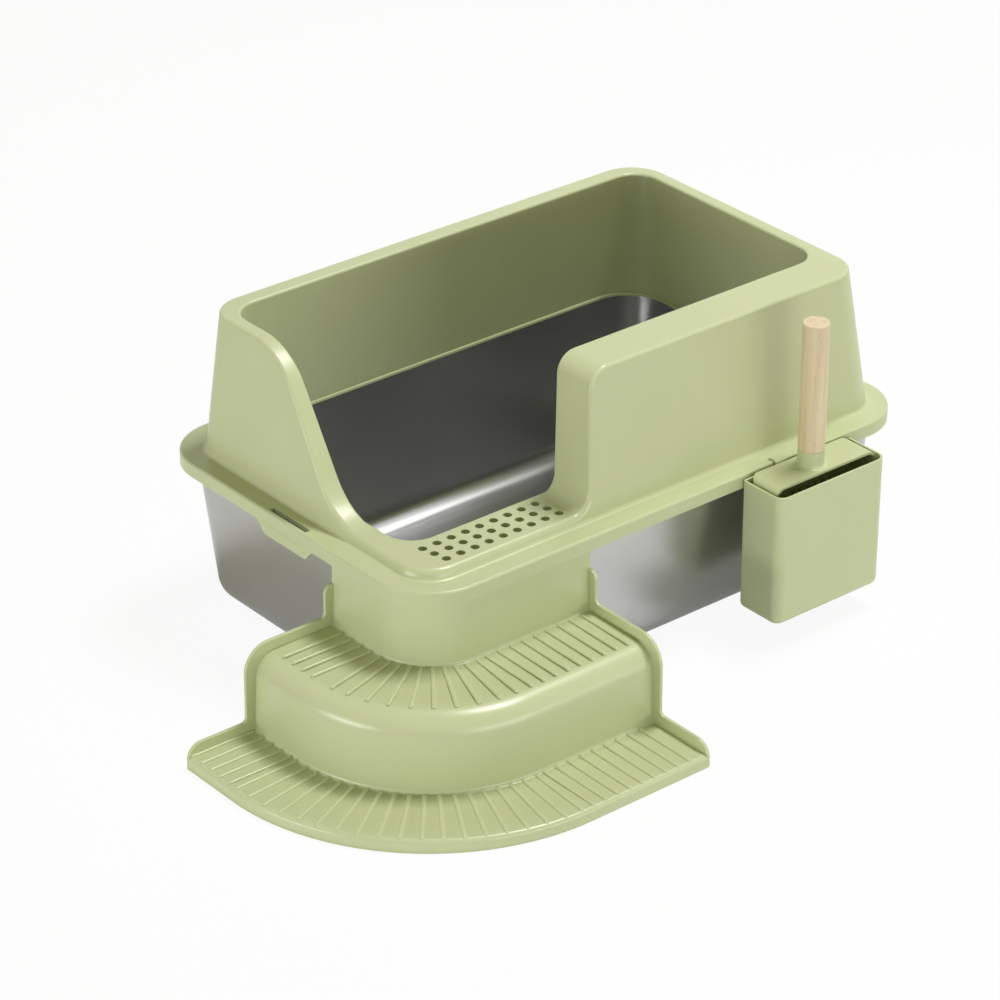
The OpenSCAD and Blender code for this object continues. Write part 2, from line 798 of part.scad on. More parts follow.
// Screw up through the scoop's plate into the end of the handle
module handle_screw() {
    under = -scoop_t;
    color(zinc)
        translate([handle_x, handle_y, plate_z])
            difference() {
                rotate_extrude($fn = 32)
                    polygon(concat(
                        [[0, under - 3]],
                        arc(2.2, under - 1.6, 1.6, -90, 0, 4),
                        [[3.8, under], [screw_d / 2, under],
                         [screw_d / 2, screw_len - 4], [0, screw_len]]));
                for (a = [0, 90])
                    rotate(a)
                        translate([-2, -0.45, under - 4])
                            cube([4, 0.9, 2.5]);
            }
}

litter_pan();
enclosure();
corner_stair();
scoop_holder();
scoop_head();
scoop_handle();
handle_screw();
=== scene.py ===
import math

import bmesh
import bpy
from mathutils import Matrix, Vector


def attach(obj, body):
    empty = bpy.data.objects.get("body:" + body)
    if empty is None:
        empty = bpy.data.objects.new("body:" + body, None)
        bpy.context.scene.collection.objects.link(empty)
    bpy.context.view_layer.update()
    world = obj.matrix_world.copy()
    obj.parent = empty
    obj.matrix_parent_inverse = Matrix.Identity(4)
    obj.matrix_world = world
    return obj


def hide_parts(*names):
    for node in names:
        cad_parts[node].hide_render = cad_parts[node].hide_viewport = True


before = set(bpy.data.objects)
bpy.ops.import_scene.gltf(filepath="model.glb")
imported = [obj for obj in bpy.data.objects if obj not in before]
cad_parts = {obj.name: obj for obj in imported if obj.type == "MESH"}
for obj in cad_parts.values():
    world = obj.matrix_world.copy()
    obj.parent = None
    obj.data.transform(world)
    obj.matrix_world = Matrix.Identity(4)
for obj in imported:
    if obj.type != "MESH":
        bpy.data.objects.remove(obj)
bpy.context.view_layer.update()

# %% [markdown]
# This file dresses the solids of a stainless steel litter box. The box is a drawn steel pan,
# a green plastic enclosure that sits on the pan's rim, a corner stair of two ribbed steps,
# and a scoop with a wooden handle that stands in a holder hooked over the flange.
# The loaded frame holds the solids, and each of them is a node that rides on a body.
# Sizes below are in millimetres, as in the workshop, and become metres when a mesh is made.

MM = 0.001
left, right, front, back = -305.0, 305.0, -202.5, 202.5
rim_z = 314.0
flange_z = 167.0
threshold_z = 177.0
under_flange = 164.5
skirt_z = 152.5
skirt_box = (left, right, front, back)
skirt_radii = (60.0, 59.0, 59.0, 59.0)
print("nodes:", sorted(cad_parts))

# %% [markdown]
# The camera stands where the photograph was taken from: in front of the entrance corner,
# well above the rim. Its distance matters as much as its direction, because it sets how
# much smaller the far corner looks. A long lens from far away gives the calm, nearly
# parallel edges of a product picture. Its values were solved from the straight edges and
# the corners of the box in the photograph: a place in metres, the angles that it looks down
# and to the right in degrees, and a focal length in millimetres.

# %% Camera
camera_place = (-2.1357, -2.5417, 1.9055)
camera_down, camera_right = 28.7702, 39.4185
focal_length = 140.544
camera_data = bpy.data.cameras.new("photo_camera")
camera_data.lens = focal_length
camera = bpy.data.objects.new("photo_camera", camera_data)
camera.location = camera_place
camera.rotation_euler = (math.radians(90 - camera_down), 0, math.radians(-camera_right))
bpy.context.scene.collection.objects.link(camera)
bpy.context.scene.camera = camera
bpy.context.scene.view_settings.view_transform = "Standard"
print("camera is", round(camera.location.length, 2), "m from the origin")

# %% [markdown]
# The background of a product picture is clean white. The world looks white to the camera
# and in shiny surfaces, but lights the piece with only a weak, slightly yellow light, so
# that the lamps decide which faces are bright. The floor looks nearly white to the camera
# too. In reflections it is only a little brighter than its paint, so that the steel mirrors
# a shaded floor, and the shadow of the box stays on it.

# %% White world and floor
def new_material(name):
    material = bpy.data.materials.new(name)
    material.use_nodes = True
    material.node_tree.nodes.clear()
    return material, material.node_tree.nodes, material.node_tree.links


def set_input(tree, socket, value):
    """Links a socket to another one, or gives it a plain value."""
    if isinstance(value, bpy.types.NodeSocket):
        tree.links.new(value, socket)
    else:
        socket.default_value = value


def math_node(tree, operation, *values):
    node = tree.nodes.new("ShaderNodeMath")
    node.operation = operation
    for socket, value in zip(node.inputs, values):
        set_input(tree, socket, value)
    return node.outputs[0]


world = bpy.data.worlds.new("studio_world")
world.use_nodes = True
bpy.context.scene.world = world
sky_tree = world.node_tree
sky, sky_links = sky_tree.nodes, sky_tree.links
sky.clear()
rays = sky.new("ShaderNodeLightPath").outputs
camera_or_shiny = math_node(sky_tree, "MAXIMUM", rays["Is Camera Ray"], rays["Is Glossy Ray"])
sees_white = math_node(sky_tree, "MAXIMUM", camera_or_shiny, rays["Is Transmission Ray"])
soft = sky.new("ShaderNodeBackground")
soft.inputs["Color"].default_value = (1.0, 1.0, 0.45, 1)
soft.inputs["Strength"].default_value = 0.25
white = sky.new("ShaderNodeBackground")
white.inputs["Color"].default_value = (1, 1, 1, 1)
white.inputs["Strength"].default_value = 1.0
sky_mix = sky.new("ShaderNodeMixShader")
sky_out = sky.new("ShaderNodeOutputWorld")
sky_links.new(sees_white, sky_mix.inputs[0])
sky_links.new(soft.outputs[0], sky_mix.inputs[1])
sky_links.new(white.outputs[0], sky_mix.inputs[2])
sky_links.new(sky_mix.outputs[0], sky_out.inputs["Surface"])

floor_material, nodes, links = new_material("pale_floor")
paint = nodes.new("ShaderNodeBsdfDiffuse")
paint.inputs["Color"].default_value = (0.9, 0.9, 0.98, 1)
glow = nodes.new("ShaderNodeEmission")
glow.inputs["Strength"].default_value = 1.0
rays = nodes.new("ShaderNodeLightPath").outputs
seen_white, mirrored_white = 0.92, 0.10
floor_tree = floor_material.node_tree
seen = math_node(floor_tree, "MULTIPLY", rays["Is Camera Ray"], seen_white)
shown = math_node(floor_tree, "MULTIPLY_ADD", rays["Is Glossy Ray"], mirrored_white, seen)
floor_mix = nodes.new("ShaderNodeMixShader")
floor_out = nodes.new("ShaderNodeOutputMaterial")
links.new(shown, floor_mix.inputs[0])
links.new(paint.outputs[0], floor_mix.inputs[1])
links.new(glow.outputs[0], floor_mix.inputs[2])
links.new(floor_mix.outputs[0], floor_out.inputs["Surface"])

far = 9.0
floor_mesh = bpy.data.meshes.new("studio_floor")
floor_corners = [(-far, -far, 0), (far, -far, 0), (far, far, 0), (-far, far, 0)]
floor_mesh.from_pydata(floor_corners, [], [(0, 1, 2, 3)])
floor_mesh.materials.append(floor_material)
floor = bpy.data.objects.new("studio_floor", floor_mesh)
bpy.context.scene.collection.objects.link(floor)
print("floor and world are ready")

# %% [markdown]
# In the photograph the box is bright outside and dark inside. Two long lamps stand low, one
# in front and one at the left. They light the outer walls evenly, but the walls keep them
# from shining inside. A third lamp hangs high above and makes the tops brighter than the
# walls. Large lamps have soft shadows and give the steel long, soft highlights.

# %% Soft lamps
def soft_box(name, place, target, size, watts):
    """A lamp of a width and a height in metres that is turned towards its target."""
    data = bpy.data.lights.new(name, "AREA")
    data.shape = "RECTANGLE"
    data.size, data.size_y = size
    data.energy = watts
    lamp = bpy.data.objects.new(name, data)
    lamp.location = place
    lamp.rotation_euler = (Vector(target) - Vector(place)).to_track_quat("-Z", "Y").to_euler()
    bpy.context.scene.collection.objects.link(lamp)
    return lamp


box_middle = (0, 0, 0.2)
soft_box("top_box", (0.75, -0.25, 2.55), box_middle, size=(0.9, 0.6), watts=52)
soft_box("front_box", (0.1, -2.5, 0.26), box_middle, size=(2.2, 0.30), watts=20)
soft_box("left_box", (-2.6, 0.05, 0.26), box_middle, size=(1.4, 0.30), watts=25)

# %% [markdown]
# The finishes come before the shapes, so that each piece gets its own as it is made.
# Moulded plastic is never one flat tone. The colour drifts very slightly over a hand's
# width, because the pigment doesn't mix perfectly, and the mould's fine spark finish
# breaks up the shine. Both are the same on every plastic piece, so they are built once,
# as a shader node group, and each material places it with its own values.

# %% Node group for the skin of a moulded plastic piece
def new_group(name, inputs, outputs):
    tree = bpy.data.node_groups.new(name, "ShaderNodeTree")
    for label, kind, value in inputs:
        socket = tree.interface.new_socket(label, in_out="INPUT", socket_type=kind)
        socket.default_value = value
    for label, kind in outputs:
        tree.interface.new_socket(label, in_out="OUTPUT", socket_type=kind)
    start = tree.nodes.new("NodeGroupInput")
    end = tree.nodes.new("NodeGroupOutput")
    return tree, start, end


def noise(tree, vector, scale, detail=2.0):
    """Noise from 0 to 1; on an object's own place, the scale is in waves per metre."""
    node = tree.nodes.new("ShaderNodeTexNoise")
    node.inputs["Scale"].default_value = scale
    node.inputs["Detail"].default_value = detail
    tree.links.new(vector, node.inputs["Vector"])
    return node.outputs["Fac"]


def remap(tree, value, low, high):
    """Stretches a noise value of about 0.3 to 0.7 onto the range low to high."""
    node = tree.nodes.new("ShaderNodeMapRange")
    node.inputs["From Min"].default_value = 0.3
    node.inputs["From Max"].default_value = 0.7
    node.inputs["To Min"].default_value = low
    node.inputs["To Max"].default_value = high
    tree.links.new(value, node.inputs["Value"])
    return node.outputs["Result"]


def mix_colour(tree, share, first, second):
    """first where share is 0 and second where it is 1; each is a socket or a colour."""
    node = tree.nodes.new("ShaderNodeMix")
    node.data_type = "RGBA"
    for socket, value in ((node.inputs[0], share), (node.inputs[6], first), (node.inputs[7], second)):
        set_input(tree, socket, value)
    return node.outputs[2]


skin_group, start, end = new_group(
    "moulded_skin",
    [("Colour", "NodeSocketColor", (0.5, 0.5, 0.5, 1)),
     ("Darker", "NodeSocketColor", (0.4, 0.4, 0.4, 1)),
     ("Gloss low", "NodeSocketFloat", 0.28),
     ("Gloss high", "NodeSocketFloat", 0.33)],
    [("Colour", "NodeSocketColor"), ("Roughness", "NodeSocketFloat"), ("Height", "NodeSocketFloat")])
place = skin_group.nodes.new("ShaderNodeTexCoord").outputs["Object"]
drift = remap(skin_group, noise(skin_group, place, 9.0), 0.0, 1.0)
speckle = remap(skin_group, noise(skin_group, place, 900.0, 1.0), 0.0, 0.35)
blend = skin_group.nodes.new("ShaderNodeMath")
blend.operation = "ADD"
blend.use_clamp = True
skin_group.links.new(drift, blend.inputs[0])
skin_group.links.new(speckle, blend.inputs[1])
colour = mix_colour(skin_group, blend.outputs[0], start.outputs["Colour"], start.outputs["Darker"])
rub = remap(skin_group, noise(skin_group, place, 26.0), 0.0, 1.0)
gloss = skin_group.nodes.new("ShaderNodeMix")
skin_group.links.new(rub, gloss.inputs["Factor"])
skin_group.links.new(start.outputs["Gloss low"], gloss.inputs["A"])
skin_group.links.new(start.outputs["Gloss high"], gloss.inputs["B"])
grit = noise(skin_group, place, 1400.0, 2.0)
skin_group.links.new(colour, end.inputs["Colour"])
skin_group.links.new(gloss.outputs["Result"], end.inputs["Roughness"])
skin_group.links.new(grit, end.inputs["Height"])
print("group", skin_group.name, "is ready")

# %% [markdown]
# Every plastic piece has the same pale sage green and the same soft sheen. The material is
# one Principled shader, fed by the skin group. The bump stays very low, because a mould's
# grain is felt rather than seen from where the camera stands.

# %% Green plastic
def add_shader(nodes, links):
    shader = nodes.new("ShaderNodeBsdfPrincipled")
    out = nodes.new("ShaderNodeOutputMaterial")
    links.new(shader.outputs[0], out.inputs["Surface"])
    return shader


def add_bump(nodes, links, height, shader, strength, distance):
    bump = nodes.new("ShaderNodeBump")
    bump.inputs["Strength"].default_value = strength
    bump.inputs["Distance"].default_value = distance
    links.new(height, bump.inputs["Height"])
    links.new(bump.outputs["Normal"], shader.inputs["Normal"])


def plastic(name, colour, darker):
    material, nodes, links = new_material(name)
    shader = add_shader(nodes, links)
    skin = nodes.new("ShaderNodeGroup")
    skin.node_tree = skin_group
    skin.inputs["Colour"].default_value = (*colour, 1)
    skin.inputs["Darker"].default_value = (*darker, 1)
    links.new(skin.outputs["Colour"], shader.inputs["Base Color"])
    links.new(skin.outputs["Roughness"], shader.inputs["Roughness"])
    add_bump(nodes, links, skin.outputs["Height"], shader, strength=0.05, distance=0.0001)
    return material


green_plastic = plastic("green_plastic", colour=(0.540, 0.580, 0.360), darker=(0.515, 0.555, 0.337))
print("made", green_plastic.name)

# %% [markdown]
# The pan is drawn from stainless steel sheet and left with a satin finish. It is the one
# large piece that mirrors what stands round it. Its tone drifts softly, and its gloss and
# its bump follow very fine brushing lines. Brushing is a noise that is stretched along the
# pan and squeezed from foot to rim, so that it reads as lines round the walls.

# %% Satin steel
def stretched(nodes, links, scale):
    """The object's own place, with waves per metre along x, y and z."""
    place = nodes.new("ShaderNodeTexCoord")
    mapping = nodes.new("ShaderNodeMapping")
    mapping.inputs["Scale"].default_value = scale
    links.new(place.outputs["Object"], mapping.inputs["Vector"])
    return mapping.outputs["Vector"]


steel, nodes, links = new_material("satin_steel")
tree = steel.node_tree
shader = add_shader(nodes, links)
shader.inputs["Metallic"].default_value = 1.0
lines = noise(tree, stretched(nodes, links, (6, 6, 900)), 1.0, 3.0)
smears = noise(tree, stretched(nodes, links, (7, 7, 11)), 1.0, 2.0)
bright_steel, dull_steel = (0.57, 0.57, 0.565, 1), (0.52, 0.52, 0.515, 1)
tone = mix_colour(tree, remap(tree, smears, 0.0, 1.0), bright_steel, dull_steel)
links.new(tone, shader.inputs["Base Color"])
links.new(remap(tree, lines, 0.25, 0.27), shader.inputs["Roughness"])
add_bump(nodes, links, lines, shader, strength=0.01, distance=0.00003)
print("made", steel.name)

# %% [markdown]
# The scoop's handle is turned from pale beech and left almost matt. Beech has a quiet
# grain: faint streaks along the length, and short darker flecks a few millimetres long.
# Two stretched noises make them. The end grain on the top needs nothing of its own,
# because the same noise, cut across, shows as small dots. The small screw that holds the
# handle is zinc plated, and zinc shows fine crystals.

# %% Beech and zinc
beech, nodes, links = new_material("pale_beech")
tree = beech.node_tree
shader = add_shader(nodes, links)
streaks = remap(tree, noise(tree, stretched(nodes, links, (150, 150, 5)), 1.0, 4.0), 0.0, 1.0)
flecks = noise(tree, stretched(nodes, links, (900, 900, 90)), 1.0, 1.0)
fleck_mask = nodes.new("ShaderNodeMapRange")
fleck_mask.inputs["From Min"].default_value = 0.62
fleck_mask.inputs["From Max"].default_value = 0.72
fleck_mask.inputs["To Max"].default_value = 0.5
links.new(flecks, fleck_mask.inputs["Value"])
pale_wood, dark_wood, fleck_brown = (0.735, 0.62, 0.44, 1), (0.585, 0.465, 0.31, 1), (0.50, 0.35, 0.22, 1)
plain = mix_colour(tree, streaks, pale_wood, dark_wood)
tone = mix_colour(tree, fleck_mask.outputs["Result"], plain, fleck_brown)
links.new(tone, shader.inputs["Base Color"])
links.new(remap(tree, streaks, 0.48, 0.58), shader.inputs["Roughness"])
add_bump(nodes, links, flecks, shader, strength=0.15, distance=0.0002)

zinc, nodes, links = new_material("zinc_plate")
tree = zinc.node_tree
shader = add_shader(nodes, links)
shader.inputs["Metallic"].default_value = 1.0
crystals = noise(tree, stretched(nodes, links, (700, 700, 700)), 1.0, 2.0)
bright_zinc, dull_zinc = (0.62, 0.64, 0.67, 1), (0.48, 0.50, 0.54, 1)
tone = mix_colour(tree, remap(tree, crystals, 0.0, 1.0), bright_zinc, dull_zinc)
links.new(tone, shader.inputs["Base Color"])
links.new(remap(tree, crystals, 0.28, 0.42), shader.inputs["Roughness"])
print("made", beech.name, "and", zinc.name)

# %% [markdown]
# Most of the box is a profile drawn round a rectangle with rounded corners, or a stack of
# such rectangles. A section is a list of points, and a piece is a skin over a row of
# sections. Quads that follow the shape shade far better than the triangles of a solid
# modeller, and rounded edges can be as fine as the picture needs.

# %% Skins over sections
def new_object(name, points, faces, material):
    mesh = bpy.data.meshes.new(name)
    mesh.from_pydata([(x * MM, y * MM, z * MM) for x, y, z in points], [], faces)
    piece = bpy.data.objects.new(name, mesh)
    bpy.context.scene.collection.objects.link(piece)
    mesh.materials.append(material)
    bm = bmesh.new()
    bm.from_mesh(mesh)
    bmesh.ops.remove_doubles(bm, verts=bm.verts, dist=1e-6)
    bmesh.ops.recalc_face_normals(bm, faces=bm.faces)
    bm.to_mesh(mesh)
    bm.free()
    return piece


def skin_over(name, sections, material, closed):
    """Faces between neighbouring sections; each section is a closed line of points."""
    count = len(sections[0])
    points = [p for section in sections for p in section]
    faces = []
    for k in range(len(sections) if closed else len(sections) - 1):
        here, there = k * count, (k + 1) % len(sections) * count
        for i in range(count):
            j = (i + 1) % count
            faces.append((here + i, here + j, there + j, there + i))
    if not closed:
        faces.append(tuple(range(count)))
        faces.append(tuple(range((len(sections) - 1) * count, len(sections) * count)))
    return new_object(name, points, faces, material)


def even_shading(piece, angle=35):
    """Smooth faces with sharp creases, weighted so that large flat faces stay flat."""
    for face in piece.data.polygons:
        face.use_smooth = True
    piece.data.set_sharp_from_angle(angle=math.radians(angle))
    even = piece.modifiers.new("even_shading", "WEIGHTED_NORMAL")
    even.keep_sharp = True


def corner_centre(box, radii, c):
    x = box[0] + radii[c] if c in (0, 3) else box[1] - radii[c]
    y = box[2] + radii[c] if c < 2 else box[3] - radii[c]
    return x, y


def round_box(box, radii, steps=20):
    """Points round a rounded box, with the way outwards at each."""
    found = []
    for c in range(4):
        x, y = corner_centre(box, radii, c)
        for i in range(steps + 1):
            a = math.radians(180 + 90 * c + 90 * i / steps)
            nx, ny = math.cos(a), math.sin(a)
            found.append((x + radii[c] * nx, y + radii[c] * ny, nx, ny))
    return found


def grown(box, d):
    return (box[0] - d, box[1] + d, box[2] - d, box[3] + d)


def ring(box, radii, z, steps=20):
    return [(x, y, z) for x, y, _, _ in round_box(box, radii, steps)]


def swept(name, box, radii, profile, material, steps=28):
    """Draws a closed profile of (distance outwards, height) all round a rounded box."""
    sections = [[(x + out * nx, y + out * ny, z) for out, z in profile]
                for x, y, nx, ny in round_box(box, radii, steps)]
    return skin_over(name, sections, material, closed=True)


def quarter_turn(steps):
    return [math.radians(90 * i / steps) for i in range(steps + 1)]


def arc(cx, cy, r, start, end, steps):
    angles = [math.radians(start + (end - start) * i / steps) for i in range(steps + 1)]
    return [(cx + r * math.cos(a), cy + r * math.sin(a)) for a in angles]


def joined(name, pieces):
    """Makes one object of several."""
    target = bpy.data.meshes.new(name)
    bm = bmesh.new()
    for piece in pieces:
        bm.from_mesh(piece.data)
    for face in bm.faces:
        face.material_index = 0
    bm.to_mesh(target)
    bm.free()
    target.materials.append([m for m in pieces[0].data.materials if m][0])
    result = bpy.data.objects.new(name, target)
    bpy.context.scene.collection.objects.link(result)
    for piece in pieces:
        bpy.data.objects.remove(piece)
    return result


def plain_mesh(piece):
    """Applies the modifiers of a piece and removes them."""
    graph = bpy.context.evaluated_depsgraph_get()
    mesh = bpy.data.meshes.new_from_object(piece.evaluated_get(graph))
    piece.modifiers.clear()
    old = piece.data
    piece.data = mesh
    bpy.data.meshes.remove(old)
    return piece


def bevelled(piece, width, segments=3, angle=30):
    bevel = piece.modifiers.new("soft_edges", "BEVEL")
    bevel.width = width * MM
    bevel.segments = segments
    bevel.limit_method = "ANGLE"
    bevel.angle_limit = math.radians(angle)
    return plain_mesh(piece)


def cut(piece, tools):
    """Cuts the tools out of a piece."""
    for tool in tools:
        knife = piece.modifiers.new("cut", "BOOLEAN")
        knife.operation = "DIFFERENCE"
        knife.solver = "EXACT"
        knife.object = tool
        plain_mesh(piece)
        bpy.data.objects.remove(tool)
    return piece


def block(name, low, high, material):
    points = [(x, y, z) for x in (low[0], high[0]) for y in (low[1], high[1]) for z in (low[2], high[2])]
    faces = [(0, 1, 3, 2), (4, 6, 7, 5), (0, 4, 5, 1), (2, 3, 7, 6), (0, 2, 6, 4), (1, 5, 7, 3)]
    return new_object(name, points, faces, material)


def plate(name, outline, place, material):
    """An outline given thickness: place turns (u, v, side) into x, y and z, side being 0 or 1."""
    sections = [[place(u, v, side) for u, v in outline] for side in (0, 1)]
    return skin_over(name, sections, material, closed=False)


print("helpers are ready")

# %% [markdown]
# The pan is one sheet of steel, drawn into a box with a round foot and rounded corners.
# Its rim is bent outwards and then down, and carries the enclosure. The skin runs up the
# outside of the sheet, over the rim's edge and down the inside, so the piece has its real
# thickness at the rim.

# %% Pan
steel_t = 1.2
pan_foot_r = 26.0
pan_edge = 4.0
pan_inset, pan_taper = 19, 15
pan_corner_r, corner_taper = 32, 0.3
edge_inset, edge_corner_r = 9, 50
shoulder_r = 3


def pan_ring(z, d):
    """The outside of the pan at a height, moved into the sheet by d."""
    inset = pan_inset + pan_taper * (under_flange - z) / under_flange
    radius = pan_corner_r - (inset - pan_inset) * corner_taper - d
    return ring(grown(skirt_box, -(inset + d)), [radius] * 4, z)


def pan_foot(base, steps=12):
    r = pan_foot_r - base
    return [pan_ring(base + r * (1 - math.cos(a)), pan_foot_r - r * math.sin(a))
            for a in quarter_turn(steps)]


def pan_shoulder(t, top, steps=6):
    r = shoulder_r + t
    return [pan_ring(top - r * (1 - math.sin(a)), t - r * (1 - math.cos(a)))
            for a in quarter_turn(steps)]


def pan_edge_ring(d, z):
    return ring(grown(skirt_box, -(edge_inset + d)), [edge_corner_r - d] * 4, z)


t, top = steel_t, under_flange - 0.02
pan_sections = (
    pan_foot(0) + pan_shoulder(0, top - t)
    + [pan_edge_ring(t, top - t), pan_edge_ring(t, top - pan_edge), pan_edge_ring(0, top - pan_edge),
       pan_edge_ring(0, top - t), pan_edge_ring(0.1 * t, top - 0.55 * t),
       pan_edge_ring(0.45 * t, top - 0.12 * t), pan_edge_ring(t, top)]
    + pan_shoulder(t, top)[::-1] + pan_foot(t)[::-1])
pan_shell = skin_over("pan_shell", pan_sections, steel, closed=False)
even_shading(pan_shell)
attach(pan_shell, "pan")
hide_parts("litter_pan")
print("pan_shell has", len(pan_shell.data.polygons), "faces")

# %% [markdown]
# The enclosure is one moulding. Its wall is an upside-down U: an outer skin, a flat rim
# and an inner skin that slopes down to the opening. The wall drops to a low threshold at
# the front left, along an S on the left side and a steep cut in the front. Each station
# along the wall knows how high the rim is there, and which way is down from its edge, so
# one section function draws the rim, the S, the cut and the threshold with the same
# rounded edges. A station is a row of six: whether it is at a corner, which corner or side,
# its angle or its place along the side, the rim's height, and the way down from the edge,
# first along the wall and then in height.

# %% Wall of the enclosure
foot_box = (left + 23, right - 21.5, front + 23, back - 27.5)
lip_box = (left + 48, right - 47, front + 79, back - 46)
lip_radii = (30.0, 36.0, 45.0, 36.0)
wall_radii = (35.0, 35.0, 40.0, 35.0)
opening_radii = (26.0, 26.0, 26.0, 26.0)
wall_lean = (11, -21, 11, -15)
rim_widths = (15.5, -14.5, 48, -18.5)
skin, fillet, ledge = 2.5, 4.0, 2.0
edge_r, threshold_r = 3.0, 6.0
threshold_blend = 25.0


def mixed(a, b, t):
    return tuple(p + (q - p) * t for p, q in zip(a, b))


def outer_box(z):
    t = (z - flange_z) / (rim_z - flange_z)
    return tuple(side + lean * t for side, lean in zip(foot_box, wall_lean))


opening_box = tuple(side + width for side, width in zip(outer_box(rim_z), rim_widths))


def inner_box(z):
    return mixed(grown(lip_box, ledge), opening_box, (z - threshold_z) / (rim_z - threshold_z))


def inner_radii(z):
    foot = [r + ledge for r in lip_radii]
    return mixed(foot, opening_radii, (z - threshold_z) / (rim_z - threshold_z))


def on_wall(station, face, u, z, e):
    """A point on the outer (0) or inner (1) face at height z, moved into the wall by e."""
    corner, c, place, _, _, _ = station
    box = grown(outer_box(z), -e) if face == 0 else grown(inner_box(z), e)
    radii = [r - e for r in wall_radii] if face == 0 else [r + e for r in inner_radii(z)]
    if corner:
        x, y = corner_centre(box, radii, c)
        return (x + radii[c] * math.cos(place), y + radii[c] * math.sin(place), z)
    along = place + u
    return [(along, box[2], z), (box[1], along, z), (along, box[3], z), (box[0], along, z)][c]


def under_rim(station, face, d, e):
    """A point at a distance d down from the wall's edge, moved into the wall by e."""
    return on_wall(station, face, station[4] * d, station[3] - station[5] * d, e)


def wall_section(station):
    """The upside-down U at one station, with a fillet where its outer skin meets the flange."""
    height = station[3]
    near_threshold = max(0.0, 1 - (height - threshold_z) / threshold_blend)
    round_out = edge_r + (threshold_r - edge_r) * near_threshold
    foot = station[4] * round_out
    quarter = quarter_turn(6)
    points = [on_wall(station, 0, foot, flange_z - 1, -fillet)]
    for a in quarter:
        up, out = fillet * (1 - math.cos(a)), fillet * (1 - math.sin(a))
        points.append(on_wall(station, 0, foot, flange_z + up, -out))
    points += [under_rim(station, 0, round_out * (1 - math.sin(a)), round_out * (1 - math.cos(a)))
               for a in quarter]
    points += [under_rim(station, 1, edge_r * (1 - math.sin(a)), edge_r * (1 - math.cos(a)))
               for a in quarter[::-1]]
    lip_foot = threshold_z - 2
    points += [on_wall(station, 1, foot, lip_foot, 0), on_wall(station, 1, foot, lip_foot, skin),
               under_rim(station, 1, edge_r + 1, skin), under_rim(station, 0, round_out + 1, skin),
               on_wall(station, 0, foot, flange_z - 1, skin)]
    return points


def corner_stations(c, height, steps=20):
    return [(True, c, math.radians(180 + 90 * c + 90 * i / steps), height, 0, 1) for i in range(steps + 1)]


def cut_stations(steps=14):
    """Up the steep cut in the front wall, with a bend at its foot and one at its top."""
    lean = math.radians(3)
    foot_r, top_r = 19.0, 21.0
    cut_middle = left + 222

    def cut_x(z):
        return cut_middle + math.tan(lean) * (z - (threshold_z + rim_z) / 2)

    foot_x = cut_x(threshold_z + foot_r * (1 - math.sin(lean))) - foot_r * math.cos(lean)
    top_x = cut_x(rim_z - top_r * (1 - math.sin(lean))) + top_r * math.cos(lean)
    found = []
    for i in range(steps + 1):
        a = (math.pi / 2 - lean) * i / steps
        found.append((False, 0, foot_x + foot_r * math.sin(a), threshold_z + foot_r * (1 - math.cos(a)),
                      math.sin(a), math.cos(a)))
    for i in range(steps + 1):
        a = lean + (math.pi / 2 - lean) * i / steps
        found.append((False, 0, top_x - top_r * math.cos(a), rim_z - top_r * (1 - math.sin(a)),
                      math.cos(a), math.sin(a)))
    return found


def rise_stations(steps=20):
    """Down the S of the left wall, from the rim to the threshold."""
    top_y, foot_y, r = 285.0, 119.0, 70.0
    run, height = top_y - foot_y, rim_z - threshold_z
    slope = math.asin(2 * r / math.hypot(run, height - 2 * r)) + math.atan((height - 2 * r) / run)
    found = []
    for i in range(steps + 1):
        a = slope * i / steps
        found.append((False, 3, front + top_y - r * math.sin(a), rim_z - r * (1 - math.cos(a)),
                      math.sin(a), math.cos(a)))
    for i in range(steps, -1, -1):
        a = slope * i / steps
        found.append((False, 3, front + foot_y + r * math.sin(a), threshold_z + r * (1 - math.cos(a)),
                      math.sin(a), math.cos(a)))
    return found


stations = (corner_stations(0, threshold_z) + cut_stations() + corner_stations(1, rim_z)
            + corner_stations(2, rim_z) + corner_stations(3, rim_z) + rise_stations())
wall = skin_over("wall", [wall_section(s) for s in stations], green_plastic, closed=True)
print("the wall has", len(stations), "stations and", len(wall.data.polygons), "faces")

# %% [markdown]
# The threshold has three rows of nine drain holes, each row stepped sideways from the last.
# Holes repeat, so Geometry Nodes place one round cutter on each point of a grid that is
# sheared a little. The tree has named inputs for its sizes, in metres, because a tree works
# in Blender's own unit. The cutters become a plain mesh, which is then taken out of the wall.

# %% Drain holes by Geometry Nodes
def new_tree(name, inputs):
    tree = bpy.data.node_groups.new(name, "GeometryNodeTree")
    tree.interface.new_socket("Geometry", in_out="INPUT", socket_type="NodeSocketGeometry")
    for label, kind, value in inputs:
        socket = tree.interface.new_socket(label, in_out="INPUT", socket_type=kind)
        if value is not None:
            socket.default_value = value
    tree.interface.new_socket("Geometry", in_out="OUTPUT", socket_type="NodeSocketGeometry")
    return tree, tree.nodes.new("NodeGroupInput"), tree.nodes.new("NodeGroupOutput")


def close_tree(tree, geometry, start, end):
    """Ends a tree in Realize Instances and Set Material."""
    real = tree.nodes.new("GeometryNodeRealizeInstances")
    paint = tree.nodes.new("GeometryNodeSetMaterial")
    tree.links.new(geometry, real.inputs[0])
    tree.links.new(real.outputs[0], paint.inputs["Geometry"])
    tree.links.new(start.outputs["Material"], paint.inputs["Material"])
    tree.links.new(paint.outputs["Geometry"], end.inputs["Geometry"])


